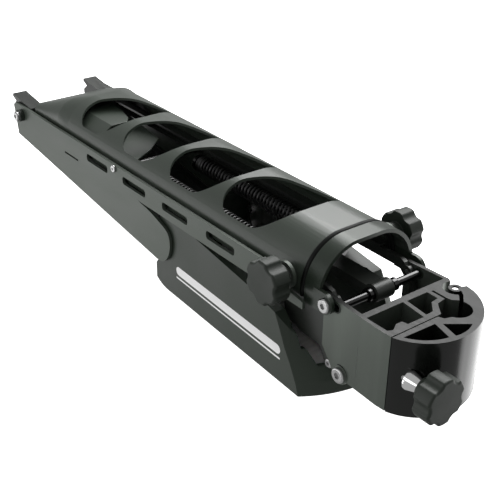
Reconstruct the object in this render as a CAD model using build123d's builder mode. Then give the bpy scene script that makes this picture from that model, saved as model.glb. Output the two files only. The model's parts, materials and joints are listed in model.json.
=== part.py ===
from build123d import *
import os
from math import atan2, cos, degrees, hypot, radians, sin

# Folding bow mount for an electric trolling motor.
# +X runs from the pivot end towards the shaft clamp, +Y is the left side, +Z is up.
# The origin is the middle of the four deck bolts, on the deck itself. Millimetres.

os.makedirs("parts", exist_ok=True)

# --- driving dimensions -------------------------------------------------------
SHAFT_R = 14.3            # clamp bore, for a 1-1/8 inch motor shaft
PLATE_OUTER = 65.0        # outer faces of the side plates, from the middle plane
PLATE_T = 3.5
PLATE_TOP = 116.0
PLATE_INNER = PLATE_OUTER - PLATE_T
STRIP_BOTTOM = 91.0
SWING_X = -435.0          # axis that the whole arm swings about
SWING_Z = 104.0
SWING_R = 4.0
SCREW_GAP = 0.05          # radial running clearance of a pin in its hole

LOCK_X = 90.0             # side lock knobs
LOCK_Z = 114.5
LOCK_R = 4.0
KNOB_R = 21.8
KNOB_T = 18.0
KNOB_LOBES = 6
HUB_R = 11.0
HUB_LENGTH = 8.0

SLOT_COUNT = 4            # openings in the side plates
SLOT_START = -269.0
SLOT_PITCH = 79.2
SLOT_LENGTH = 46.5
SLOT_HEIGHT = 9.0

COVER_HALF = 57.8         # arched cover over the arm
COVER_T = 3.0
COVER_TOP = 150.5
COVER_FOOT = 98.0
COVER_FRONT = 106.0
SHOULDER_R = 44.5
WINDOW_COUNT = 4
WINDOW_START = -314.5
WINDOW_PITCH = 93.5
WINDOW_LENGTH = 79.0
WINDOW_GROWTH = 3.4       # each window is this much longer than the one behind it
WINDOW_RIGHT = -51.5
WINDOW_LEFT = 30.0
TRAY_T = 2.0
SHELF_X = (-346.0, -266.0)
SHELF_Z = 136.0           # top of the shelf close under the first window

RAIL_INNER = 42.0         # arm rails, C-shaped, open towards the middle
RAIL_OUTER = 53.2
RAIL_BOTTOM = 103.5
RAIL_TOP = 116.5
RAIL_FRONT = 101.0

PIN_X = 147.5             # cross pin that the springs pull on
PIN_Z = 104.0
PIN_R = 4.0
PULL_Y = 31.0             # pull rods through the two springs
PULL_R = 3.0
SPRING_R = 10.0
SPRING_BACK = -176.0
ANCHOR_X = 30.0
ANCHOR_T = 6.0

HOOP_HALF = 58.4          # round hoop in front of the cover, with an ear on each side
HOOP_T = 3.8
HOOP_BACK = 110.0
HOOP_FRONT = 129.0
HOOP_FOOT = 94.0
STOP_X = 138.0            # screws through the hoop's ears, which stop the clamp head
STOP_Z = 103.5
STOP_R = 2.6
TILT_X = 158.0            # axis that the clamp head breaks away about
TILT_Z = 40.0
TILT_R = 4.0
LEG_INNER = 42.6
LEG_OUTER = 47.2
LEG_SCREW = (137.0, 38.0)
LEG_BACK = 65.0

HEAD_BOTTOM = 36.0        # clamp head extrusion
HEAD_TOP = 111.0
HEAD_REAR = 130.0
WALL_REAR_HALF = 51.8
WALL_FRONT_HALF = 54.9
WALL_T = 4.3
LUG_R = 9.5
LUG_OUTER = 54.6
CROSS_BACK = 175.4
SEAM_X = 215.0
DOOR_X = SEAM_X + 1.2
BORE = (217.0, 20.5)
HINGE = (192.8, 46.5)
HINGE_R = 3.2
KNUCKLE_R = 6.3
KNUCKLE_Z = (54.0, 93.0)
CLAMP_Y = -46.5
CLAMP_Z = 75.0
CLAMP_R = 4.0
CLAMP_FACE = 232.0        # flat of the door under the clamp washer
CONE_LENGTH = 14.4

HOUSING_WALL = 4.0        # moulded housing that stands on the deck
CHIN_X = -143.0           # rear end of the housing
SIDE_START = -95.0        # the sides spread forward from here
SIDE_HALF = 61.0
SIDE_SPREAD = 0.0403      # for each millimetre forward
CORNER_X = 121.0          # front corners on the deck
NOSE_X = 143.0            # middle of the bowed front on the deck
# Height of each housing section, and how far its front stands back from the bottom one.
HOUSING_SECTIONS = [(0, 0), (12, -4.5), (29, -14), (42, -23), (58, -31), (72, -39), (92, -50)]
BRACKET_SCREWS = [(-108, 50), (-108, 68)]
SIDE_SCREW = (-207, 111.4)
DECK_SPACING_X = 110.0
DECK_SPACING_Y = 80.0
DECK_HOLE_R = 3.3
DECK_T = 5.0


def keep(part, name):
    """Label one finished piece and write its file."""
    part.label = name
    export_step(part, f"parts/{name}.step")


def mirrored(part):
    """The same piece on the other side of the middle plane."""
    with BuildPart() as other:
        mirror(part, about=Plane.XZ)
    return other.part


def pair(part):
    """A piece and its mirror image, as two solids in one node."""
    return Compound(children=[part, mirrored(part)])


def bar(start, end, width):
    """A straight bar with round ends between two points of the current sketch."""
    length = hypot(end[0] - start[0], end[1] - start[1])
    middle = ((start[0] + end[0]) / 2, (start[1] + end[1]) / 2)
    turn = degrees(atan2(end[1] - start[1], end[0] - start[0]))
    with Locations(Location(middle, turn)):
        SlotCenterToCenter(length, width)


def side_plane(y):
    """Sketch plane of a side view at distance y on the right side; extrudes outwards."""
    return Plane.XZ.offset(y)


def arch(half, foot, shoulder_r, top):
    """Closed arch outline: straight legs, round shoulders and a level crown."""
    with BuildSketch() as outline:
        with BuildLine():
            Line((-half, foot), (-half, top - shoulder_r))
            RadiusArc((-half, top - shoulder_r), (-half + shoulder_r, top), shoulder_r)
            Line((-half + shoulder_r, top), (half - shoulder_r, top))
            RadiusArc((half - shoulder_r, top), (half, top - shoulder_r), shoulder_r)
            Line((half, top - shoulder_r), (half, foot))
            Line((half, foot), (-half, foot))
        make_face()
    return outline.sketch_local


def pan_screw(x, z, seat, tip, shank_r, head_r, head_t):
    """Pan-head screw along Y on the right side, head outwards, with a hex socket."""
    with BuildPart() as screw:
        with BuildSketch(side_plane(tip)):
            with Locations((x, z)):
                Circle(shank_r)
        extrude(amount=seat - tip)
        with BuildSketch(side_plane(seat)):
            with Locations((x, z)):
                Circle(head_r)
        extrude(amount=head_t)
        fillet(screw.faces().sort_by(Axis.Y)[0].edges(), head_t * 0.45)
        with BuildSketch(side_plane(seat + head_t)):
            with Locations((x, z)):
                RegularPolygon(head_r * 0.45, 6)
        extrude(amount=-head_t * 0.6, mode=Mode.SUBTRACT)
    return screw.part


# --- side plates ----------------------------------------------------------------
def side_plate():
    """Right side plate: a long strip, a wedge panel below its rear and a lock lobe."""
    with BuildPart() as plate:
        with BuildSketch(side_plane(PLATE_INNER)):
            with BuildLine():
                Polyline((-159, STRIP_BOTTOM), (116, STRIP_BOTTOM), (116, 98), (98, 101), (98, PLATE_TOP),
                         (-452, PLATE_TOP), (-457.7, 111), (-451.4, 74), (-124, 35))
                Spline((-124, 35), (-98.5, 56), (-101, 74), (-116, 81.5), (-135, 87), (-159, STRIP_BOTTOM))
            make_face()
            with Locations((LOCK_X, LOCK_Z)):
                Circle(13)
            first_slot = SLOT_START + SLOT_LENGTH / 2
            for index in range(SLOT_COUNT):
                with Locations((first_slot + index * SLOT_PITCH, 104)):
                    RectangleRounded(SLOT_LENGTH, SLOT_HEIGHT, 3.2, mode=Mode.SUBTRACT)
            with Locations((-307.5, 91.5)):
                SlotOverall(33, 2.2, mode=Mode.SUBTRACT)
            with Locations((SWING_X, SWING_Z)):
                Circle(6.5, mode=Mode.SUBTRACT)
            with Locations((LOCK_X, LOCK_Z)):
                Circle(LOCK_R + SCREW_GAP, mode=Mode.SUBTRACT)
            with Locations(SIDE_SCREW):
                Circle(2.0, mode=Mode.SUBTRACT)
        extrude(amount=PLATE_T)
        with BuildSketch(side_plane(PLATE_INNER)):
            with Locations(*BRACKET_SCREWS):
                Circle(2.5)
        extrude(amount=2.0, mode=Mode.SUBTRACT)
    return plate.part


right_plate = side_plate()
keep(right_plate, "right_side_plate")
keep(mirrored(right_plate), "left_side_plate")
keep(pair(pan_screw(*SIDE_SCREW, PLATE_OUTER, PLATE_INNER + 0.2, 2.0, 4.2, 2.4)), "side_screws")


# --- swing pivot ------------------------------------------------------------------
def swing_bushing():
    """Flanged bush in the side plate, which spaces the bolt head away from it."""
    with BuildPart() as bush:
        with BuildSketch(side_plane(PLATE_INNER)):
            with Locations((SWING_X, SWING_Z)):
                Circle(6.5)
        extrude(amount=PLATE_T)
        with BuildSketch(side_plane(PLATE_OUTER)):
            with Locations((SWING_X, SWING_Z)):
                Circle(7.5)
        extrude(amount=6.0)
        fillet(bush.faces().sort_by(Axis.Y)[0].edges(), 0.8)
        with BuildSketch(side_plane(PLATE_INNER)):
            with Locations((SWING_X, SWING_Z)):
                Circle(SWING_R)
        extrude(amount=PLATE_T + 6.0, mode=Mode.SUBTRACT)
    return bush.part


keep(pair(swing_bushing()), "swing_bushings")
keep(pair(pan_screw(SWING_X, SWING_Z, PLATE_OUTER + 6.0, 45.0, SWING_R, 6.0, 4.0)), "swing_bolts")


# --- knobs ------------------------------------------------------------------------
def lobed_knob(plane):
    """Hand knob with broad lobes and a round hub; plane is the hub's inner end."""
    with BuildPart() as knob:
        with BuildSketch(plane.offset(HUB_LENGTH)):
            Circle(KNOB_R)
            with PolarLocations(KNOB_R + 4.8, KNOB_LOBES):
                Circle(7.6, mode=Mode.SUBTRACT)
            fillet(vertices(), 3.2)
        extrude(amount=KNOB_T)
        face_height = HUB_LENGTH + KNOB_T
        rim = knob.edges().filter_by(lambda e: abs(plane.to_local_coords(e.center()).Z - face_height) < 0.1)
        fillet(rim, 2.4)
        with BuildSketch(plane):
            Circle(HUB_R)
        extrude(amount=HUB_LENGTH + 1.0)
        with BuildSketch(plane):
            Circle(LOCK_R)
        extrude(amount=HUB_LENGTH * 2, mode=Mode.SUBTRACT)
    return knob.part


def stud(plane, length, radius):
    """Plain round stud with a chamfered tip, starting at plane."""
    with BuildPart() as pin:
        with BuildSketch(plane):
            Circle(radius)
        extrude(amount=length)
        chamfer(pin.edges(), 0.5)
    return pin.part


right_lock = Plane(origin=(LOCK_X, -PLATE_INNER, LOCK_Z), x_dir=(1, 0, 0), z_dir=(0, -1, 0))
lock_knob = lobed_knob(right_lock.offset(PLATE_T + 1.8))
lock_stud = stud(right_lock.offset(0.1), PLATE_T + 1.8 + 15.8, LOCK_R)
with BuildPart() as lock_washer:
    with BuildSketch(right_lock.offset(PLATE_T)):
        Circle(9.0)
        Circle(LOCK_R + SCREW_GAP, mode=Mode.SUBTRACT)
    extrude(amount=1.6)
keep(lock_knob, "right_lock_knob")
keep(lock_stud, "right_lock_stud")
keep(mirrored(lock_knob), "left_lock_knob")
keep(mirrored(lock_stud), "left_lock_stud")
keep(pair(lock_washer.part), "lock_washers")


# --- deck side of the base ----------------------------------------------------------
def side_half(x):
    """Half the housing's width at x, ahead of where its sides begin to spread."""
    return SIDE_HALF + SIDE_SPREAD * (x - SIDE_START)


def housing_outline(inset, shift):
    """Plan of the housing at one height: level rear, spreading sides and a bowed front."""
    corner_x = CORNER_X + shift - inset
    corner_y = side_half(corner_x) - inset
    rear = CHIN_X + inset
    side = [(SIDE_START, SIDE_HALF - inset), (rear + 9, 59.5 - inset), (rear, 52 - inset)]
    with BuildSketch() as outline:
        with BuildLine():
            other_side = [(x, -y) for x, y in reversed(side)]
            Polyline([(corner_x, corner_y)] + side + other_side + [(corner_x, -corner_y)])
            ThreePointArc((corner_x, -corner_y), (NOSE_X + shift - inset, 0), (corner_x, corner_y))
        make_face()
    return outline.sketch_local


def housing_block(inset):
    """Solid through the housing's sections, set in by a wall thickness."""
    with BuildPart() as block:
        for height, shift in HOUSING_SECTIONS:
            with BuildSketch(Plane.XY.offset(height)):
                add(housing_outline(inset, shift))
        loft(ruled=True)
    return block.part


def housing_profile(inset):
    """Side view of the housing, from its raised chin to the front, set in by a wall thickness."""
    top_edge = [(180, 46), (104, 48), (96, 57), (82, 72), (41, 79.5), (-70, 90.5)]
    rear_end = [(-122 + inset, 90.5 - inset), (-128 + inset, 32), (CHIN_X + 1.4 * inset, 14 + 0.4 * inset)]
    floor_end = (-112 + 1.5 * inset, 0)
    with BuildPart() as slab:
        with BuildSketch(side_plane(-80)):
            with BuildLine():
                Polyline([floor_end, (180, 0)] + [(x, z - inset) for x, z in top_edge] + rear_end)
                ThreePointArc(rear_end[-1], (-131 + inset, 4.8 + inset), floor_end)
            make_face()
        extrude(amount=160)
    return slab.part


def housing_hollow():
    """The room inside the housing, under the ledge along its top."""
    with BuildPart() as hollow:
        add(housing_block(HOUSING_WALL))
        add(housing_profile(HOUSING_WALL), mode=Mode.INTERSECT)
    return hollow.part


def base_housing():
    """Thin-walled moulding, open below and above, whose front dips to clear the clamp head."""
    with BuildPart() as housing:
        add(housing_block(0))
        add(housing_profile(0), mode=Mode.INTERSECT)
        add(housing_hollow(), mode=Mode.SUBTRACT)
        with BuildSketch(Plane.XY.offset(40)):
            Polygon((-114, -48), (60, -48), (74, -56), (160, -56), (160, 56), (74, 56), (60, 48), (-114, 48),
                    align=None)
        extrude(amount=60, mode=Mode.SUBTRACT)
        with BuildSketch(Plane.YZ.offset(70)):
            Polygon((-58, 60), (-47, 25), (47, 25), (58, 60), align=None)
        extrude(amount=90, mode=Mode.SUBTRACT)
        with BuildSketch(side_plane(-80)):
            with Locations(*BRACKET_SCREWS):
                Circle(2.5)
        extrude(amount=160, mode=Mode.SUBTRACT)
    return housing.part


keep(base_housing(), "base_housing")

with BuildPart() as deck_plate:
    with BuildSketch():
        Polygon((-104, -52), (112, -58), (112, 58), (-104, 52), align=None)
        fillet(vertices(), 6)
        with GridLocations(DECK_SPACING_X, DECK_SPACING_Y, 2, 2):
            Circle(DECK_HOLE_R, mode=Mode.SUBTRACT)
    extrude(amount=DECK_T)
keep(deck_plate.part, "deck_plate")


def side_bracket():
    """Angle between the deck plate and one side plate, behind the housing wall."""
    with BuildPart() as bracket:
        with BuildSketch(Plane.YZ.offset(-112)):
            Polygon((-56.2, DECK_T + 0.1), (-30, DECK_T + 0.1), (-30, 9), (-52.2, 9), (-52.2, 80),
                    (-56.2, 80), align=None)
        extrude(amount=44)
        with BuildSketch(side_plane(50)):
            with Locations(*BRACKET_SCREWS):
                Circle(2.5)
        extrude(amount=10, mode=Mode.SUBTRACT)
    return bracket.part


keep(pair(side_bracket()), "side_brackets")


def bracket_screw(x, z):
    """Screw through bracket and housing wall into the blind hole of the side plate."""
    with BuildPart() as screw:
        with BuildSketch(side_plane(52.2)):
            with Locations((x, z)):
                Circle(2.5)
        extrude(amount=11.2)
        with BuildSketch(side_plane(49.2)):
            with Locations((x, z)):
                RegularPolygon(4.6, 6)
        extrude(amount=3.0)
    return screw.part


bracket_screws = [bracket_screw(x, z) for x, z in BRACKET_SCREWS]
keep(Compound(children=bracket_screws + [mirrored(screw) for screw in bracket_screws]), "bracket_screws")


def panel_floor(x):
    """Height of the wedge panels' lower edge at x."""
    return 74 - (x + 451.4) * 39 / 327.4


with BuildPart() as base_pan:
    with BuildSketch(side_plane(-PLATE_INNER + 0.1)):
        Polygon((-388, panel_floor(-388) + 1), (-140, panel_floor(-140) + 1), (-140, panel_floor(-140) + 13),
                (-388, panel_floor(-388) + 13), align=None)
    extrude(amount=2 * PLATE_INNER - 0.2)
    with BuildSketch(side_plane(-PLATE_INNER + 2.6)):
        Polygon((-390, panel_floor(-390) + 3.5), (-136, panel_floor(-136) + 3.5), (-136, 90), (-390, 90),
                align=None)
    extrude(amount=2 * PLATE_INNER - 5.2, mode=Mode.SUBTRACT)
keep(base_pan.part, "base_pan")


# --- arm: rails, cover, hoop and legs --------------------------------------------------
def arm_rail():
    """C-shaped rail with a solid hooked end and a lug round the swing bolt."""
    with BuildPart() as rail:
        with BuildSketch(side_plane(RAIL_INNER)):
            with BuildLine():
                Polyline((RAIL_FRONT, RAIL_BOTTOM), (RAIL_FRONT, RAIL_TOP), (-424, RAIL_TOP), (-467.5, 122.6),
                         (-468.4, 119.4), (-459.5, 114.8), (-468, 108), (-467.8, 102.6), (-452, RAIL_BOTTOM),
                         (RAIL_FRONT, RAIL_BOTTOM))
            make_face()
            with Locations((SWING_X, SWING_Z)):
                Circle(11)
        extrude(amount=RAIL_OUTER - RAIL_INNER)
        with BuildSketch(side_plane(RAIL_OUTER)):
            with BuildLine():
                Polyline((-419, RAIL_BOTTOM), (-419, RAIL_TOP - 0.6), (-467.5, 122.6), (-468.4, 119.4),
                         (-459.5, 114.8), (-468, 108), (-467.8, 102.6), (-452, RAIL_BOTTOM),
                         (-419, RAIL_BOTTOM))
            make_face()
            with Locations((SWING_X, SWING_Z)):
                Circle(11)
        extrude(amount=PLATE_INNER - 1.0 - RAIL_OUTER)
        with BuildSketch(side_plane(RAIL_INNER)):
            Polygon((-400, RAIL_BOTTOM + 2.5), (RAIL_FRONT, RAIL_BOTTOM + 2.5), (RAIL_FRONT, RAIL_TOP - 2.5),
                    (-400, RAIL_TOP - 2.5), align=None)
        extrude(amount=RAIL_OUTER - RAIL_INNER - 3.0, mode=Mode.SUBTRACT)
        with BuildSketch(side_plane(RAIL_INNER)):
            Polygon((LEG_BACK - 3, RAIL_BOTTOM - 1), (RAIL_FRONT + 1, RAIL_BOTTOM - 1),
                    (RAIL_FRONT + 1, RAIL_BOTTOM + 3), (LEG_BACK - 3, RAIL_BOTTOM + 3), align=None)
        extrude(amount=RAIL_OUTER - RAIL_INNER - 3.0, mode=Mode.SUBTRACT)
        with BuildSketch(side_plane(RAIL_INNER)):
            with Locations((SWING_X, SWING_Z)):
                Circle(SWING_R + SCREW_GAP)
        extrude(amount=30, mode=Mode.SUBTRACT)
    return rail.part


right_rail = arm_rail()
keep(right_rail, "right_arm_rail")
keep(mirrored(right_rail), "left_arm_rail")


def cover_solid(inset):
    """Arched solid: flattened at the rear, then one section to the front."""
    half = COVER_HALF - inset
    top = COVER_TOP - inset
    sections = [(-412, 124 - inset, 9 - inset), (-390, 131 - inset, 16 - inset),
                (-352, 145 - inset, 30 - inset), (-330, top, SHOULDER_R - inset)]
    with BuildPart() as solid:
        for x, crown, shoulder_r in sections:
            with BuildSketch(Plane.YZ.offset(x)):
                add(arch(half, COVER_FOOT - 1, shoulder_r, crown))
        loft(ruled=True)
        with BuildSketch(Plane.YZ.offset(-330)):
            add(arch(half, COVER_FOOT - 1, SHOULDER_R - inset, top))
        extrude(amount=COVER_FRONT + 330)
    return solid.part


def window_outline(length):
    """Plan of one cover opening: a long curve on the left that ends in a pointed front corner."""
    rear_r = 18
    front_r = 38
    rear_y = -21.5
    left_edge = [(length, WINDOW_LEFT), (0.66 * length, 25.5), (0.45 * length, 21.2), (20, 14.3), (8.5, 3),
                 (2.5, -10), (0, rear_y)]
    with BuildSketch() as outline:
        with BuildLine():
            Line((rear_r, WINDOW_RIGHT), (length - front_r, WINDOW_RIGHT))
            RadiusArc((length - front_r, WINDOW_RIGHT), (length, WINDOW_RIGHT + front_r), -front_r)
            Line((length, WINDOW_RIGHT + front_r), (length, WINDOW_LEFT))
            Spline(*left_edge)
            Line((0, rear_y), (0, WINDOW_RIGHT + rear_r))
            RadiusArc((0, WINDOW_RIGHT + rear_r), (rear_r, WINDOW_RIGHT), -rear_r)
        make_face()
    return outline.sketch_local


with BuildPart() as top_cover:
    add(cover_solid(0))
    add(cover_solid(COVER_T), mode=Mode.SUBTRACT)
    with BuildSketch(Plane.XY.offset(COVER_FOOT - 5)):
        with Locations((-150, 0)):
            Rectangle(600, 140)
    extrude(amount=5, mode=Mode.SUBTRACT)
    for index in range(WINDOW_COUNT):
        with BuildSketch(Plane.XY.offset(122)):
            with Locations((WINDOW_START + index * WINDOW_PITCH, 0)):
                add(window_outline(WINDOW_LENGTH + WINDOW_GROWTH * index))
        extrude(amount=40, mode=Mode.SUBTRACT)
keep(top_cover.part, "top_cover")

with BuildPart() as cover_rim:
    with BuildSketch(Plane.YZ.offset(COVER_FRONT - 4)):
        add(arch(COVER_HALF - COVER_T, COVER_FOOT, SHOULDER_R - COVER_T, COVER_TOP - COVER_T))
        add(arch(COVER_HALF - 6, COVER_FOOT - 1, SHOULDER_R - 6, COVER_TOP - 6), mode=Mode.SUBTRACT)
    extrude(amount=4)
keep(cover_rim.part, "cover_rim")

with BuildPart() as lower_tray:
    with BuildSketch(Plane.XY.offset(RAIL_TOP)):
        Polygon((-405, -47.8), (-195, -47.8), (-215, -12), (-238, 14), (-300, 22), (-405, 40), align=None)
    extrude(amount=TRAY_T)

# Shelf under the first window: it stands on the right rail, slopes up and then lies level.
with BuildPart() as shelf:
    with BuildSketch(Plane.YZ.offset(SHELF_X[0])):
        Polygon((-50, RAIL_TOP), (-50, 123), (-32, SHELF_Z), (10, SHELF_Z), (10, SHELF_Z - TRAY_T),
                (-31.3, SHELF_Z - TRAY_T), (-48, 122), (-48, RAIL_TOP), align=None)
    extrude(amount=SHELF_X[1] - SHELF_X[0])
    with BuildSketch(Plane.XY.offset(RAIL_TOP - 1)):
        Polygon((-350, -60), (-260, -60), (-266, -11), (-277, -3), (-301, 3), (-350, 8), align=None)
    extrude(amount=SHELF_Z - RAIL_TOP + 2, mode=Mode.INTERSECT)
keep(Compound(children=[lower_tray.part, shelf.part]), "inner_tray")

with BuildPart() as cross_ties:
    for x in (-392, -205):
        with BuildSketch(side_plane(-50.1)):
            with Locations((x, 110)):
                Circle(3.9)
        extrude(amount=100.2)
keep(cross_ties.part, "cross_ties")

with BuildPart() as hoop:
    with BuildSketch(Plane.YZ.offset(HOOP_BACK)):
        add(arch(HOOP_HALF, HOOP_FOOT, SHOULDER_R, COVER_TOP + 0.6))
        add(arch(HOOP_HALF - HOOP_T, HOOP_FOOT - 1, SHOULDER_R - HOOP_T, COVER_TOP + 0.6 - HOOP_T),
            mode=Mode.SUBTRACT)
    extrude(amount=HOOP_FRONT - HOOP_BACK)
    with BuildSketch(side_plane(-HOOP_HALF)):
        with BuildLine():
            Polyline((STOP_X - 16, HOOP_FOOT), (STOP_X - 2, HOOP_FOOT))
            RadiusArc((STOP_X - 2, HOOP_FOOT), (STOP_X - 2, HOOP_FOOT + 21), -10.5)
            Polyline((STOP_X - 2, HOOP_FOOT + 21), (STOP_X - 16, HOOP_FOOT + 21), (STOP_X - 16, HOOP_FOOT))
        make_face()
    extrude(amount=2 * HOOP_HALF)
    with BuildSketch(side_plane(-HOOP_HALF + HOOP_T)):
        with Locations((130, 104)):
            Rectangle(60, 24)
    extrude(amount=2 * (HOOP_HALF - HOOP_T), mode=Mode.SUBTRACT)
    with BuildSketch(side_plane(-70)):
        with Locations((STOP_X, STOP_Z)):
            Circle(STOP_R)
    extrude(amount=140, mode=Mode.SUBTRACT)
keep(hoop.part, "hoop")


def arm_leg():
    """Broad leg inside one wall of the clamp head, from the rail down to the breakaway pivot."""
    with BuildPart() as leg:
        with BuildSketch(side_plane(LEG_INNER)):
            with BuildLine():
                Polyline((136, 106.4), (136, 108), (134, 111.5), (128, 113.6), (LEG_BACK, 113.6),
                         (LEG_BACK + 2, 92), (LEG_BACK + 6, 64))
                RadiusArc((LEG_BACK + 6, 64), (LEG_BACK + 17, 54), -11)
                Polyline((LEG_BACK + 17, 54), (97, 50.4), (121, 49.4), (133, 32.6), (158, 30.5), (164, 41),
                         (151.5, 87), (141, 100), (136, 106.4))
            make_face()
            with Locations((STOP_X, STOP_Z)):
                Circle(5.4)
            with Locations((TILT_X, TILT_Z)):
                Circle(LUG_R)
                Circle(TILT_R + SCREW_GAP, mode=Mode.SUBTRACT)
            with Locations((STOP_X, STOP_Z)):
                Circle(STOP_R, mode=Mode.SUBTRACT)
            with Locations(LEG_SCREW):
                Circle(2.0, mode=Mode.SUBTRACT)
        extrude(amount=LEG_OUTER - LEG_INNER)
    return leg.part


right_leg = arm_leg()
keep(right_leg, "right_arm_leg")

# The left leg has no web: only its top bar in the rail and a strut down to the pivot.
with BuildPart() as left_leg:
    add(mirrored(right_leg))
    with BuildSketch(side_plane(-LEG_OUTER)):
        Polygon((LEG_BACK - 5, RAIL_BOTTOM + 0.5), (128, RAIL_BOTTOM + 0.5), (142.5, 90), (142.5, 72),
                (147, 56), (146, 47), (118, 47), (118, 20), (LEG_BACK - 5, 20), align=None)
    extrude(amount=LEG_OUTER - LEG_INNER, mode=Mode.SUBTRACT)
keep(left_leg.part, "left_arm_leg")
keep(pair(pan_screw(STOP_X, STOP_Z, HOOP_HALF, LEG_INNER, STOP_R, 7.0, 3.2)), "stop_screws")
keep(pair(pan_screw(*LEG_SCREW, LEG_OUTER, LEG_INNER, 2.0, 4.6, 2.6)), "leg_screws")

with BuildPart() as anchor_plate:
    with BuildSketch(Plane.YZ.offset(ANCHOR_X)):
        with Locations((0, 102)):
            RectangleRounded(2 * RAIL_INNER - 0.4, 34, 4)
        with Locations((-PULL_Y, PIN_Z - 1.5), (PULL_Y, PIN_Z - 1.5)):
            SlotCenterToCenter(6.0, 2 * PULL_R + 1.4, rotation=90, mode=Mode.SUBTRACT)
        with Locations((0, 99)):
            RectangleRounded(30, 20, 4, mode=Mode.SUBTRACT)
    extrude(amount=ANCHOR_T)
    with BuildSketch(Plane.YZ.offset(ANCHOR_X)):
        with Locations((-44.5, 110.2), (44.5, 110.2)):
            Rectangle(6, 7)
    extrude(amount=ANCHOR_T)
keep(anchor_plate.part, "anchor_plate")

# --- springs and the link that pulls the head back ---------------------------------------
with BuildPart() as pull_rod:
    with BuildSketch(Plane.YZ.offset(SPRING_BACK - 12)):
        with Locations((-PULL_Y, PIN_Z)):
            Circle(PULL_R)
    extrude(amount=66 + 12 - SPRING_BACK)
    chamfer(pull_rod.edges(), 0.5)
keep(pair(pull_rod.part), "pull_rods")

with BuildPart() as spring_cup:
    with BuildSketch(Plane.YZ.offset(SPRING_BACK - 4)):
        with Locations((-PULL_Y, PIN_Z)):
            Circle(SPRING_R)
            Circle(PULL_R, mode=Mode.SUBTRACT)
    extrude(amount=4)
    with BuildSketch(Plane.YZ.offset(SPRING_BACK - 9)):
        with Locations((-PULL_Y, PIN_Z)):
            RegularPolygon(5.8, 6)
            Circle(PULL_R, mode=Mode.SUBTRACT)
    extrude(amount=5)
keep(pair(spring_cup.part), "spring_cups")


def spring_envelope():
    """Closed ring of the spring's inside and outside diameters."""
    with BuildPart() as spring:
        with BuildSketch(Plane.YZ.offset(SPRING_BACK)):
            with Locations((-PULL_Y, PIN_Z)):
                Circle(SPRING_R)
                Circle(SPRING_R - 2.6, mode=Mode.SUBTRACT)
        extrude(amount=ANCHOR_X - SPRING_BACK)
    return spring.part


right_spring = spring_envelope()
keep(right_spring, "right_spring")
keep(mirrored(right_spring), "left_spring")

with BuildPart() as link:
    with BuildSketch(Plane.XY.offset(PIN_Z - 5.5)):
        Polygon((54, -38), (66, -38), (84, -12), (140, -12), (140, 9), (84, 9), (66, 38), (54, 38),
                align=None)
    extrude(amount=11)
    fillet(link.edges().filter_by(Axis.Z), 2.0)
    with BuildSketch(side_plane(-9)):
        with Locations((PIN_X, PIN_Z)):
            Circle(9.0)
    extrude(amount=21)
    with BuildSketch(side_plane(-9)):
        with Locations((PIN_X - 8, PIN_Z)):
            Rectangle(16, 11)
    extrude(amount=21)
    with BuildSketch(side_plane(-12)):
        with Locations((PIN_X, PIN_Z)):
            Circle(PIN_R + SCREW_GAP)
    extrude(amount=30, mode=Mode.SUBTRACT)
    with BuildSketch(Plane.YZ.offset(50)):
        with Locations((-PULL_Y, PIN_Z), (PULL_Y, PIN_Z)):
            Circle(PULL_R)
    extrude(amount=16, mode=Mode.SUBTRACT)
keep(link.part, "link")

# --- clamp head ------------------------------------------------------------------------------
def jaw(angle, reach):
    """Point on the tangent to the shaft that touches it at angle; reach runs along the tangent."""
    turn = radians(angle)
    x = BORE[0] + SHAFT_R * cos(turn) - reach * sin(turn)
    y = BORE[1] + SHAFT_R * sin(turn) + reach * cos(turn)
    return (x, y)


def head_outline():
    """Plan of the clamp block: two rear walls, a cross wall and a V-shaped jaw."""
    with BuildSketch() as outline:
        with BuildLine():
            Polyline((HEAD_REAR, -WALL_REAR_HALF), (178, -WALL_FRONT_HALF), (205, -55.8), (SEAM_X, -55.0),
                     (SEAM_X, -1.5), jaw(232, 8.5), jaw(232, -8), (199.8, 25.0), (184.0, 25.0), (184.0, 27.6),
                     (201.4, 27.6), jaw(140, 1.5), jaw(140, -5), (203.5, 39.2), (198.5, 41.0), HINGE,
                     (186.5, 48.9), (178.5, 54.2), (HEAD_REAR, WALL_REAR_HALF),
                     (HEAD_REAR, WALL_REAR_HALF - WALL_T), (CROSS_BACK, 50.2), (CROSS_BACK, -50.2),
                     (HEAD_REAR, -WALL_REAR_HALF + WALL_T), (HEAD_REAR, -WALL_REAR_HALF))
        make_face()
        with BuildLine():
            Polyline((182.2, -51.4), (206.5, -51.2), (208.8, -46.5), (203.6, -38.0), (203.6, -31.2),
                     (209.4, -30.0), (209.6, -11.3), (182.2, -8.3), (182.2, -51.4))
        make_face(mode=Mode.SUBTRACT)
        with BuildLine():
            Polyline((183.0, -4.0), (208.4, -7.0), (208.0, 1.6), (197.0, 11.5), (195.6, 20.8), (183.0, 20.8),
                     (183.0, -4.0))
        make_face(mode=Mode.SUBTRACT)
        with Locations(HINGE):
            Circle(11.6, mode=Mode.SUBTRACT)
    return outline.sketch_local


def knuckle(low, high, neck):
    """Hinge knuckle between two heights, with its neck running to the given point."""
    with BuildPart() as ring:
        with BuildSketch(Plane.XY.offset(low)):
            bar(HINGE, neck, 7.0)
            with Locations(HINGE):
                Circle(KNUCKLE_R)
        extrude(amount=high - low)
    return ring.part


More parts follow.
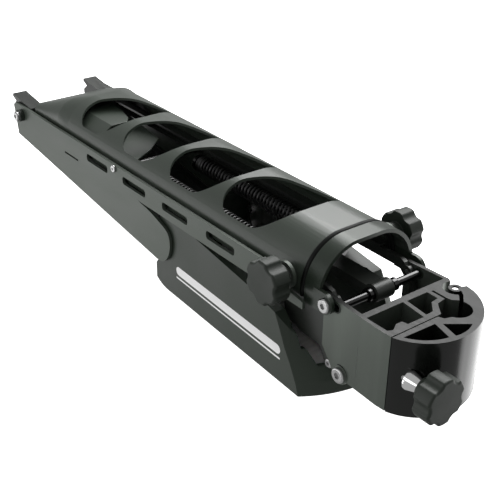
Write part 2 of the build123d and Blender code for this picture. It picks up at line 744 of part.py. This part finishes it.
with BuildPart() as clamp_block:
    with BuildSketch(Plane.XY.offset(HEAD_BOTTOM)):
        add(head_outline())
    extrude(amount=HEAD_TOP - HEAD_BOTTOM)
    add(knuckle(KNUCKLE_Z[0], KNUCKLE_Z[1], (184.5, 36.5)))
    with BuildSketch(side_plane(-60)):
        Polygon((HEAD_REAR - 1, 58), (149, 35), (HEAD_REAR - 1, 35), align=None)
    extrude(amount=120, mode=Mode.SUBTRACT)
    with BuildSketch(side_plane(-LUG_OUTER)):
        with Locations((TILT_X, TILT_Z)):
            Circle(LUG_R)
    extrude(amount=2 * LUG_OUTER)
    with BuildSketch(side_plane(-49.0)):
        with Locations((TILT_X, TILT_Z)):
            Circle(17)
    extrude(amount=98.0, mode=Mode.SUBTRACT)
    with BuildSketch(side_plane(-60)):
        with Locations((TILT_X, TILT_Z)):
            Circle(TILT_R)
        with Locations((PIN_X, PIN_Z)):
            Circle(5.2)
        with Locations((STOP_X, STOP_Z)):
            Circle(STOP_R + 0.4)
        Polygon((STOP_X, STOP_Z + 3.0), (HEAD_REAR - 2, STOP_Z + 3.0), (HEAD_REAR - 2, STOP_Z - 8),
                (STOP_X, STOP_Z - 3.0), align=None)
    extrude(amount=120, mode=Mode.SUBTRACT)
    with BuildSketch(Plane.YZ.offset(196)):
        with Locations((CLAMP_Y + 1.6, CLAMP_Z)):
            SlotOverall(2 * CLAMP_R + 4.4, 2 * CLAMP_R + 1.0)
    extrude(amount=30, mode=Mode.SUBTRACT)
    with BuildSketch(Plane.XY.offset(HEAD_BOTTOM - 8)):
        with Locations(HINGE):
            Circle(HINGE_R)
    extrude(amount=100, mode=Mode.SUBTRACT)
keep(clamp_block.part, "clamp_block")


def round_pair(x, z, start, length, outer_r, inner_r):
    """Ring along Y at a distance from the middle plane, and its mirror image."""
    with BuildPart() as ring:
        with BuildSketch(side_plane(start)):
            with Locations((x, z)):
                Circle(outer_r)
                Circle(inner_r, mode=Mode.SUBTRACT)
        extrude(amount=length)
    return pair(ring.part)


with BuildPart() as pull_pin:
    with BuildSketch(side_plane(-51.5)):
        with Locations((PIN_X, PIN_Z)):
            Circle(PIN_R)
    extrude(amount=103)
    chamfer(pull_pin.edges(), 0.6)
keep(pull_pin.part, "pull_pin")
keep(round_pair(PIN_X, PIN_Z, 48.0, 5.6, 5.2, PIN_R), "pin_bushes")
keep(round_pair(PIN_X, PIN_Z, 12.4, 5.0, 6.2, PIN_R), "pin_collars")
keep(pair(pan_screw(TILT_X, TILT_Z, LUG_OUTER, LEG_INNER, TILT_R, 7.6, 3.6)), "tilt_screws")

with BuildPart() as hinge_pin:
    with BuildSketch(Plane.XY.offset(HEAD_BOTTOM)):
        with Locations(HINGE):
            Circle(HINGE_R)
    extrude(amount=HEAD_TOP - HEAD_BOTTOM - 1.0)
    chamfer(hinge_pin.edges(), 0.5)
keep(hinge_pin.part, "hinge_pin")

with BuildPart() as clamp_nut:
    with BuildSketch(Plane.YZ.offset(199.4)):
        Polygon((-50.8, 66), (-42.8, 66), (-42.8, 84), (-50.8, 84), align=None)
        with Locations((CLAMP_Y + 1.6, CLAMP_Z)):
            SlotOverall(2 * CLAMP_R + 4.4, 2 * CLAMP_R + 1.0, mode=Mode.SUBTRACT)
    extrude(amount=6.4)
keep(clamp_nut.part, "clamp_nut")

# --- door of the clamp -------------------------------------------------------------------------
def on_bore(angle):
    """Point of the clamp bore at an angle."""
    return jaw(angle, 0)


def door_outline():
    """Plan of the door: a curved front, half of the clamp bore and two closed cells."""
    with BuildSketch() as outline:
        with BuildLine():
            Line((DOOR_X, -1.5), (DOOR_X, -55.2))
            ThreePointArc((DOOR_X, -55.2), (243.2, -33.0), (250.0, -1.0))
            ThreePointArc((250.0, -1.0), (238.6, 31.5), (206.2, 55.6))
            Polyline((206.2, 55.6), (196.5, 57.4), HINGE, (197.0, 48.6), (205.0, 43.2), on_bore(105))
            ThreePointArc(on_bore(105), on_bore(20), on_bore(-62))
            Polyline(on_bore(-62), (221.6, 1.0), (DOOR_X, -1.5))
        make_face()
        with BuildLine():
            Line((226.5, -6.4), (241.2, 13.6))
            ThreePointArc((241.2, 13.6), (245.6, 1.0), (245.2, -11.0))
            Line((245.2, -11.0), (226.5, -6.4))
        make_face(mode=Mode.SUBTRACT)
        with BuildLine():
            Line((221.4, -47.6), (222.6, -11.6))
            Line((222.6, -11.6), (243.4, -17.0))
            ThreePointArc((243.4, -17.0), (236.8, -34.0), (221.4, -47.6))
        make_face(mode=Mode.SUBTRACT)
        with Locations(HINGE):
            Circle(KNUCKLE_R + 0.4, mode=Mode.SUBTRACT)
    return outline.sketch_local


with BuildPart() as door:
    with BuildSketch(Plane.XY.offset(HEAD_BOTTOM)):
        add(door_outline())
    extrude(amount=HEAD_TOP - HEAD_BOTTOM)
    add(knuckle(HEAD_BOTTOM, KNUCKLE_Z[0] - 0.3, (199.5, 51.5)))
    add(knuckle(KNUCKLE_Z[1] + 0.3, HEAD_TOP, (199.5, 51.5)))
    with BuildSketch(Plane.XY.offset(HEAD_BOTTOM)):
        with Locations(HINGE):
            Circle(HINGE_R + SCREW_GAP)
    extrude(amount=HEAD_TOP - HEAD_BOTTOM, mode=Mode.SUBTRACT)
    with BuildSketch(Plane.YZ.offset(SEAM_X)):
        with Locations((CLAMP_Y, CLAMP_Z)):
            Circle(CLAMP_R + SCREW_GAP)
    extrude(amount=30, mode=Mode.SUBTRACT)
    with BuildSketch(Plane.YZ.offset(CLAMP_FACE)):
        with Locations((CLAMP_Y, CLAMP_Z)):
            Circle(10.4)
    extrude(amount=20, mode=Mode.SUBTRACT)
keep(door.part, "door")

clamp_plane = Plane(origin=(CLAMP_FACE, CLAMP_Y, CLAMP_Z), x_dir=(0, 1, 0), z_dir=(1, 0, 0))
with BuildPart() as clamp_washer:
    with BuildSketch(clamp_plane):
        Circle(9.6)
    extrude(amount=2.5)
    with BuildSketch(clamp_plane.offset(2.5)):
        Circle(9.6)
    with BuildSketch(clamp_plane.offset(CONE_LENGTH)):
        Circle(5.8)
    loft()
    with BuildSketch(clamp_plane):
        Circle(CLAMP_R + SCREW_GAP)
    extrude(amount=20, mode=Mode.SUBTRACT)
keep(clamp_washer.part, "clamp_washer")
keep(lobed_knob(clamp_plane.offset(CONE_LENGTH + 0.6)), "clamp_knob")
keep(stud(clamp_plane.offset(-34.0), CONE_LENGTH + 50.4, CLAMP_R), "clamp_stud")

# --- pads that the arm rests on ------------------------------------------------------------------
with BuildPart() as rest_pad:
    with BuildSketch(side_plane(49.0)):
        Polygon((-20, 85.55), (0, 83.57), (0, 103.2), (-20, 103.2), align=None)
    extrude(amount=4.4)
keep(pair(rest_pad.part), "rest_pads")
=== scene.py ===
import json
import math

import bmesh
import bpy
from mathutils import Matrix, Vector


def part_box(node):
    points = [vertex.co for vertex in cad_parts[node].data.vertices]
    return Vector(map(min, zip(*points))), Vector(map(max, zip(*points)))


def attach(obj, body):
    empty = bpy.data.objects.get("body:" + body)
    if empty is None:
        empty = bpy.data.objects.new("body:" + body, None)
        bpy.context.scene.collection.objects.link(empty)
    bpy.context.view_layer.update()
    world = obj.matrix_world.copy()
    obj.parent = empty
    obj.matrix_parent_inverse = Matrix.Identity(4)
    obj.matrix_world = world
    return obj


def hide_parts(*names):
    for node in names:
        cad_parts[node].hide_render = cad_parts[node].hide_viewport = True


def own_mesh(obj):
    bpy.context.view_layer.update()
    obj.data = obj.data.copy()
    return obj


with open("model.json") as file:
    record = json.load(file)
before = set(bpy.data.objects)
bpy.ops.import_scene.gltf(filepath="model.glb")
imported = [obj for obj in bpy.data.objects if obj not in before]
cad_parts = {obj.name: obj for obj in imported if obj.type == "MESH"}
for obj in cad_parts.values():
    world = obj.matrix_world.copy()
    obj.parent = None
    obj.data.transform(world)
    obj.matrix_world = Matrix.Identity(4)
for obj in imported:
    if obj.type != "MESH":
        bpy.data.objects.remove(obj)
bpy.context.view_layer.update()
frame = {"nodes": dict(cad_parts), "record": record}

NODES = frame["nodes"]
BODY_OF = {node: body for body, names in frame["record"]["behaviour"]["bodies"].items() for node in names}
SLOT_OF = {part["node"]: part["material_slot"] for part in frame["record"]["subparts"]}
MM = 0.001


# ---------------------------------------------------------------- materials
NOISE_LOW, NOISE_HIGH = 0.3, 0.7        # the noise seldom leaves this range


def add(tree, kind, **values):
    """A shader node with its input sockets set by name."""
    node = tree.nodes.new(kind)
    for name, value in values.items():
        node.inputs[name].default_value = value
    return node


def grain(tree, scale, detail, stretch):
    """Noise in object space, stretched so that it can run along one axis."""
    coordinates = tree.nodes.new("ShaderNodeTexCoord")
    mapping = add(tree, "ShaderNodeMapping", Scale=stretch)
    noise = add(tree, "ShaderNodeTexNoise", Scale=scale, Detail=detail)
    tree.links.new(coordinates.outputs["Object"], mapping.inputs["Vector"])
    tree.links.new(mapping.outputs["Vector"], noise.inputs["Vector"])
    return noise.outputs["Fac"]


def spread(tree, value, low, high):
    """The noise value stretched to run from low to high."""
    node = add(tree, "ShaderNodeMapRange")
    node.inputs["From Min"].default_value = NOISE_LOW
    node.inputs["From Max"].default_value = NOISE_HIGH
    node.inputs["To Min"].default_value = low
    node.inputs["To Max"].default_value = high
    tree.links.new(value, node.inputs["Value"])
    return node.outputs["Result"]


def tinted(tree, value, dark, light):
    """Colour between dark and light by a noise value."""
    ramp = tree.nodes.new("ShaderNodeValToRGB")
    ramp.color_ramp.elements[0].position = NOISE_LOW
    ramp.color_ramp.elements[0].color = (*dark, 1)
    ramp.color_ramp.elements[1].position = NOISE_HIGH
    ramp.color_ramp.elements[1].color = (*light, 1)
    tree.links.new(value, ramp.inputs["Fac"])
    return ramp.outputs["Color"]


def finish_of(name, dark, light, rough, metallic=0.0, patch=22, streak=(1, 1, 1), fine=900, relief=0.1,
              coat=0.0, coat_rough=0.1, specular=0.5):
    """One surface: slow colour and gloss changes, and a fine relief at the grain's own scale."""
    relief_depth = 0.08 * MM
    material = bpy.data.materials.new(name)
    material.use_nodes = True
    tree = material.node_tree
    shader = tree.nodes["Principled BSDF"]
    slow = grain(tree, patch, 4, streak)
    tree.links.new(tinted(tree, slow, dark, light), shader.inputs["Base Color"])
    tree.links.new(spread(tree, slow, *rough), shader.inputs["Roughness"])
    shader.inputs["Metallic"].default_value = metallic
    shader.inputs["Coat Weight"].default_value = coat
    shader.inputs["Coat Roughness"].default_value = coat_rough
    shader.inputs["Specular IOR Level"].default_value = specular
    bump = add(tree, "ShaderNodeBump", Strength=relief, Distance=relief_depth)
    tree.links.new(grain(tree, fine, 3, streak), bump.inputs["Height"])
    tree.links.new(bump.outputs["Normal"], shader.inputs["Normal"])
    return material


def black(value, green=1.15):
    """Dark grey with the slight green of black anodising and paint."""
    return (value, value * green, value)


def neutral(value):
    """Grey with no tint."""
    return (value, value, value)


FINISH = {
    "plate_black": finish_of(
        "satin_plate", black(0.048, 1.25), black(0.060, 1.25), rough=(0.38, 0.46), metallic=0.25,
        patch=14, streak=(1, 1, 4), fine=500, relief=0.12),
    "cover_black": finish_of(
        "satin_cover", black(0.034, 1.3), black(0.041, 1.3), rough=(0.36, 0.42),
        patch=8, streak=(0.6, 1, 1), fine=700, relief=0.03, coat=0.3, coat_rough=0.34),
    "hoop_black": finish_of(
        "satin_hoop", black(0.018, 1.4), black(0.025, 1.4), rough=(0.28, 0.36), metallic=0.2,
        patch=18, streak=(3, 1, 1), fine=700, relief=0.08),
    "black_metal": finish_of(
        "black_metal", black(0.018), black(0.024), rough=(0.34, 0.44), metallic=0.1,
        patch=16, streak=(0.6, 2, 2), fine=600, relief=0.1),
    "moulded_black": finish_of(
        "moulded_housing", black(0.016, 1.5), black(0.021, 1.5), rough=(0.46, 0.56),
        patch=12, fine=1500, relief=0.30),
    "extrusion_black": finish_of(
        "anodised_extrusion", black(0.090), black(0.106), rough=(0.27, 0.33), metallic=0.6,
        patch=30, streak=(2, 2, 0.12), fine=900, relief=0.08),
    "door_black": finish_of(
        "anodised_door", black(0.006), black(0.009), rough=(0.17, 0.22), metallic=0.2,
        patch=30, streak=(2, 2, 0.12), fine=900, relief=0.05),
    "knob_black": finish_of(
        "moulded_knob", black(0.005, 2.0), black(0.008, 1.8), rough=(0.48, 0.58),
        patch=40, fine=1800, relief=0.4),
    "black_rubber": finish_of(
        "black_rubber", black(0.012), black(0.02), rough=(0.7, 0.85), patch=60, fine=2500, relief=0.5),
    "stainless": finish_of(
        "stainless", neutral(0.42), neutral(0.52), rough=(0.24, 0.32), metallic=1.0,
        patch=120, fine=1500, relief=0.04),
    "chrome_plate": finish_of(
        "chrome_plate", neutral(0.80), neutral(0.86), rough=(0.06, 0.10), metallic=1.0,
        patch=60, fine=900, relief=0.02),
    "dark_steel": finish_of(
        "dark_steel", neutral(0.055), neutral(0.075), rough=(0.16, 0.22), metallic=1.0,
        patch=40, fine=900, relief=0.03),
    "spring_steel": finish_of(
        "spring_steel", neutral(0.06), neutral(0.09), rough=(0.36, 0.44), metallic=1.0,
        patch=90, fine=1200, relief=0.05),
    "bare_alloy": finish_of(
        "bare_alloy", neutral(0.5), neutral(0.6), rough=(0.32, 0.44), metallic=1.0,
        patch=40, streak=(6, 1, 1), fine=1200, relief=0.2),
}
# Rough finish for the extrusions' upward sawn ends; its near-black colour is painted shade, darker than
# the extrusion itself.
SAWN_END_PAINTED_SHADE = finish_of(
    "sawn_end_painted_shade", black(0.006), black(0.011), rough=(0.40, 0.50),
    patch=60, streak=(1, 6, 1), fine=900, relief=0.12, specular=0.3)
# Dark trim with little sheen, made darker than the cover as painted shade for the gap between cover and
# hoop.
LIP_PAINTED_SHADE = finish_of(
    "black_lip_painted_shade", black(0.004), black(0.007), rough=(0.40, 0.48),
    patch=20, fine=700, relief=0.05, specular=0.12)
WHITE_PAINT = finish_of(
    "white_paint", neutral(0.90), neutral(0.94), rough=(0.38, 0.48), patch=60, fine=900, relief=0.1)

for node, source in NODES.items():
    source.data.materials.clear()
    source.data.materials.append(FINISH[SLOT_OF[node]])


# ---------------------------------------------------------------- piece helpers
SHARP_ANGLE = math.radians(35)


def place(piece, node):
    """Put a piece on a CAD node's body, with the finish of the node's slot if it has no finish yet."""
    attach(piece, BODY_OF[node])
    if not piece.data.materials:
        piece.data.materials.append(FINISH[SLOT_OF[node]])
    return piece


def mesh_piece(name, bm):
    """A new object from a bmesh, smooth except at its sharp edges."""
    bmesh.ops.recalc_face_normals(bm, faces=bm.faces)
    mesh = bpy.data.meshes.new(name)
    bm.to_mesh(mesh)
    bm.free()
    mesh.shade_smooth()
    mesh.set_sharp_from_angle(angle=SHARP_ANGLE)
    piece = bpy.data.objects.new(name, mesh)
    bpy.context.scene.collection.objects.link(piece)
    return piece


def apply_modifiers(piece):
    """Bake the piece's modifiers into its mesh."""
    graph = bpy.context.evaluated_depsgraph_get()
    mesh = bpy.data.meshes.new_from_object(piece.evaluated_get(graph))
    piece.modifiers.clear()
    piece.data = mesh


def bridge(bm, first, second):
    """Faces between two rings of the same number of vertices."""
    count = len(first)
    for step in range(count):
        after = (step + 1) % count
        bm.faces.new((first[step], first[after], second[after], second[step]))


def tube(bm, rings):
    """A closed skin over a row of rings."""
    for first, second in zip(rings, rings[1:]):
        bridge(bm, first, second)
    bm.faces.new(rings[0])
    bm.faces.new(list(reversed(rings[-1])))


# ---------------------------------------------------------------- CAD pieces with rounded edges
EDGE_WIDTH = {                          # bevel widths in millimetres
    "left_side_plate": 0.5, "right_side_plate": 0.5, "hoop": 0.9, "clamp_block": 0.5, "door": 0.6,
    "left_lock_knob": 0.7, "right_lock_knob": 0.7, "clamp_knob": 0.7, "left_arm_rail": 0.4,
    "right_arm_rail": 0.4, "base_housing": 0.9, "link": 0.8, "top_cover": 0.5, "left_arm_leg": 0.4,
    "right_arm_leg": 0.4, "inner_tray": 0.3, "base_pan": 0.3, "clamp_washer": 0.4, "anchor_plate": 0.5,
}
FLAT_ANGLE = 0.5                        # degrees; faces that meet flatter than this are joined
BLOCK_FLAT_ANGLE = 2.5                  # on the clamp block, against fan-shaped shading
BEVEL_FROM_ANGLE = 32                   # degrees
SAME_POINT = 0.002 * MM
UPWARD = 0.9                            # least upward part of an upper end's normal


def rounded(node, width, flat_angle):
    """The CAD node's own shape with its edges rounded, standing for that node."""
    bm = bmesh.new()
    bm.from_mesh(NODES[node].data)
    bmesh.ops.remove_doubles(bm, verts=bm.verts, dist=SAME_POINT)
    bmesh.ops.dissolve_limit(bm, angle_limit=math.radians(flat_angle), verts=bm.verts, edges=bm.edges)
    piece = mesh_piece(node + "_rounded", bm)
    bevel = piece.modifiers.new("bevel", "BEVEL")
    bevel.width = width * MM
    bevel.segments = 2
    bevel.limit_method = "ANGLE"
    bevel.angle_limit = math.radians(BEVEL_FROM_ANGLE)
    bevel.use_clamp_overlap = True
    bevel.harden_normals = True
    weighted = piece.modifiers.new("weighted", "WEIGHTED_NORMAL")
    weighted.keep_sharp = True
    weighted.weight = 100
    apply_modifiers(piece)
    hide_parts(node)
    return place(piece, node)


PIECE = {}
for node, width in EDGE_WIDTH.items():
    PIECE[node] = rounded(node, width, BLOCK_FLAT_ANGLE if node == "clamp_block" else FLAT_ANGLE)

# The tray has the cover's paint. The extrusions' upper ends are sawn faces; their near-black colour is
# painted shade.
PIECE["inner_tray"].data.materials[0] = FINISH["cover_black"]
for node in ("clamp_block", "door"):
    mesh = PIECE[node].data
    mesh.materials.append(SAWN_END_PAINTED_SHADE)
    for polygon in mesh.polygons:
        if polygon.normal.z > UPWARD:
            polygon.material_index = 1


# ---------------------------------------------------------------- springs
WIRE_R = 1.35 * MM
COIL_PITCH = 5.4 * MM
COIL_STEPS = 20                         # points in one turn
CLOSED_PITCH = 0.5                      # pitch of the end turns, as a share of the coil's
CLOSED_TURNS = 3


def swept(bm, path, radius, sides=10):
    """A round bar of one radius along a list of points, added to a bmesh."""
    points = [Vector(point) for point in path]
    turns = [2 * math.pi * step / sides for step in range(sides)]
    side = (points[1] - points[0]).normalized().orthogonal().normalized()
    rings = []
    for index, point in enumerate(points):
        ahead = points[min(index + 1, len(points) - 1)]
        behind = points[max(index - 1, 0)]
        along = (ahead - behind).normalized()
        side = (side - along * side.dot(along)).normalized()
        across = along.cross(side)
        rings.append([bm.verts.new(point + radius * (math.cos(turn) * side + math.sin(turn) * across))
                      for turn in turns])
    tube(bm, rings)


def coil_points(low, high, radius):
    """Helix along X inside a box, with closed turns at both ends."""
    middle_y = (low[1] + high[1]) / 2
    middle_z = (low[2] + high[2]) / 2
    closed = COIL_PITCH * CLOSED_PITCH
    points = []
    x = low[0]
    turn = 0.0
    while x <= high[0]:
        points.append((x, middle_y + radius * math.cos(turn), middle_z + radius * math.sin(turn)))
        at_end = min(x - low[0], high[0] - x) < CLOSED_TURNS * closed
        x += (closed if at_end else COIL_PITCH) / COIL_STEPS
        turn += 2 * math.pi / COIL_STEPS
    return points


for node in ("right_spring", "left_spring"):
    low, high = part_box(node)
    coil = bmesh.new()
    reach = (high[1] - low[1]) / 2 - WIRE_R
    start = (low[0] + WIRE_R, low[1], low[2])
    end = (high[0] - WIRE_R, high[1], high[2])
    swept(coil, coil_points(start, end, reach), WIRE_R)
    spring = mesh_piece(node + "_coil", coil)
    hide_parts(node)
    place(spring, node)
    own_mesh(spring)


# ---------------------------------------------------------------- rolled lip of the cover
LIP_OUTSET = 0.6 * MM                   # the lip stands this far out from the rim
LIP_FOOT = 0.2 * MM                     # and ends this far above the rim's foot
LIP_SHOULDER = 42.1 * MM
LIP_SIDES = 12
LIP_BEADS = (                           # place from the rim's front, inset, radius
    (0.3 * MM, -0.4 * MM, 3.2 * MM),
    (-1.0 * MM, 3.2 * MM, 1.8 * MM),
)


def arch_points(half, foot, shoulder, top, x):
    """Line over the cover's arch at one station: up, round the shoulder, across and down."""
    side_steps, shoulder_steps = 6, 24
    rise = top - shoulder - foot
    path = [(x, -half, foot + rise * step / side_steps) for step in range(side_steps)]
    for step in range(shoulder_steps + 1):
        turn = math.pi - math.pi / 2 * step / shoulder_steps
        across, up = shoulder * math.cos(turn), shoulder * math.sin(turn)
        path.append((x, -half + shoulder + across, top - shoulder + up))
    return path + [(x, -y, z) for x, y, z in reversed(path)]


low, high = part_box("cover_rim")
lip = bmesh.new()
for ahead, inset, radius in LIP_BEADS:
    half = high[1] + LIP_OUTSET - inset
    top = high[2] + LIP_OUTSET - inset
    arch = arch_points(half, low[2] + LIP_FOOT, LIP_SHOULDER - inset, top, high[0] + ahead)
    swept(lip, arch, radius, LIP_SIDES)
rim = mesh_piece("cover_lip", lip)
# The lip's near-black colour is painted shade in the gap before the hoop.
rim.data.materials.append(LIP_PAINTED_SHADE)
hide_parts("cover_rim")
place(rim, "cover_rim")


# ---------------------------------------------------------------- stripes on the housing's sides
SIDE_START = -95 * MM                   # the housing's sides spread forward from here
SIDE_HALF = 61 * MM                     # half of the housing's width there
SIDE_SPREAD = 0.0403                    # how much each side moves out for its length
STRIPE_BACK = -92 * MM
STRIPE_FRONT = 92 * MM
STRIPE_LIFT = (-0.3 * MM, 0.12 * MM)    # inner and outer face, from the housing's surface
STRIPES = {"wide": (29.5 * MM, 39.5 * MM), "thin": (24.6 * MM, 26.6 * MM)}


def side_stripe(name, side, low_z, high_z):
    """Thin painted stripe with round ends that lies on the housing's spreading side."""
    steps = 10
    middle = (low_z + high_z) / 2
    radius = (high_z - low_z) / 2
    outline = []
    for x, turn_start in ((STRIPE_FRONT - radius, -math.pi / 2), (STRIPE_BACK + radius, math.pi / 2)):
        for step in range(steps + 1):
            turn = turn_start + math.pi * step / steps
            outline.append((x + radius * math.cos(turn), middle + radius * math.sin(turn)))
    bm = bmesh.new()
    inner, outer = [[bm.verts.new((x, side * (SIDE_HALF + SIDE_SPREAD * (x - SIDE_START) + lift), z))
                     for x, z in outline] for lift in STRIPE_LIFT]
    bm.faces.new(outer)
    bm.faces.new(list(reversed(inner)))
    bridge(bm, inner, outer)
    stripe = mesh_piece(name, bm)
    stripe.data.materials.append(WHITE_PAINT)
    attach(stripe, "base")


for name, side in (("right", -1), ("left", 1)):
    for width, (low_z, high_z) in STRIPES.items():
        side_stripe(f"{name}_stripe_{width}", side, low_z, high_z)


# ---------------------------------------------------------------- thread on the clamp stud
THREAD_CREST = 4 * MM
THREAD_DEPTH = 0.5 * MM
THREAD_PITCH = 1.25 * MM
THREAD_END = 0.3 * MM                   # the ends are turned down this much below the root
ROWS_IN_PITCH = 4


def threaded(node, name):
    """A CAD stud along X with a rolled thread on its shank."""
    steps = 24
    low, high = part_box(node)
    middle_y = (low[1] + high[1]) / 2
    middle_z = (low[2] + high[2]) / 2
    length = high[0] - low[0]
    root = THREAD_CREST - THREAD_DEPTH
    rows = int(length / (THREAD_PITCH / ROWS_IN_PITCH))
    bm = bmesh.new()
    rings = []
    for row in range(rows + 1):
        x = low[0] + length * row / rows
        ring = []
        for step in range(steps):
            turn = 2 * math.pi * step / steps
            phase = (row / ROWS_IN_PITCH - step / steps) % 1
            radius = root + THREAD_DEPTH * abs(2 * phase - 1)
            if row in (0, rows):
                radius = root - THREAD_END
            across, up = radius * math.cos(turn), radius * math.sin(turn)
            ring.append(bm.verts.new((x, middle_y + across, middle_z + up)))
        rings.append(ring)
    tube(bm, rings)
    piece = mesh_piece(name, bm)
    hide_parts(node)
    place(piece, node)


threaded("clamp_stud", "clamp_stud_threaded")


# ---------------------------------------------------------------- camera
CAMERA_PLACE = (0.6659, -0.5546, 0.5503)
CAMERA_TILT = 61.427                    # degrees up from looking straight down
CAMERA_ROLL = -0.818
CAMERA_HEADING = 52.432                 # degrees round from looking along +Y

camera = bpy.data.objects.new("camera", bpy.data.cameras.new("camera"))
bpy.context.scene.collection.objects.link(camera)
camera.location = CAMERA_PLACE
camera.rotation_euler = [math.radians(turn) for turn in (CAMERA_TILT, CAMERA_ROLL, CAMERA_HEADING)]
camera.data.lens = 70.2
camera.data.sensor_width = 36
camera.data.clip_start = 0.01
bpy.context.scene.camera = camera


# ---------------------------------------------------------------- floor and light
FLOOR_SIZE = 300
FLOOR_GAP = 0.5 * MM                    # below the part's underside
FLOOR_GLOW = 1.2
WORLD_GLOW = 0.42
WHITE = (1, 1, 1, 1)

bpy.ops.mesh.primitive_plane_add(size=FLOOR_SIZE, location=(0, 0, -FLOOR_GAP))
floor = bpy.context.object
floor.name = "floor"
sweep = finish_of(
    "white_sweep", neutral(0.86), neutral(0.89), rough=(0.85, 0.9), patch=3, fine=80, relief=0.02)
sweep.node_tree.nodes["Principled BSDF"].inputs["Emission Color"].default_value = WHITE
sweep.node_tree.nodes["Principled BSDF"].inputs["Emission Strength"].default_value = FLOOR_GLOW
floor.data.materials.append(sweep)
floor.visible_glossy = False
floor.visible_diffuse = False
floor.visible_shadow = False

world = bpy.data.worlds.new("studio")
bpy.context.scene.world = world
world.use_nodes = True
world.node_tree.nodes["Background"].inputs["Color"].default_value = WHITE
world.node_tree.nodes["Background"].inputs["Strength"].default_value = WORLD_GLOW
bpy.context.scene.view_settings.view_transform = "Standard"


def softbox(name, place_at, look_at, size, power):
    """Rectangular area light aimed at a point."""
    lamp = bpy.data.lights.new(name, "AREA")
    lamp.shape = "RECTANGLE"
    lamp.size, lamp.size_y = size
    lamp.energy = power
    holder = bpy.data.objects.new(name, lamp)
    bpy.context.scene.collection.objects.link(holder)
    holder.location = place_at
    holder.rotation_euler = (Vector(look_at) - Vector(place_at)).to_track_quat("-Z", "Y").to_euler()


# The two cards stand below the floor, which hides them from the camera and lets their light through.
softbox("overhead", (-0.5, 1.2, 1.5), (0, 0, 0.1), (2.0, 1.1), 50)
softbox("near_card", (-1.1, -1.2, -0.35), (0, 0, 0.08), (1.8, 1.0), 8)
softbox("near_side", (-0.2, -1.7, 0.8), (0, 0, 0.1), (1.8, 0.8), 6)
softbox("far_card", (0.45, 1.35, -0.5), (0.2, 0, 0.07), (1.6, 0.9), 9)
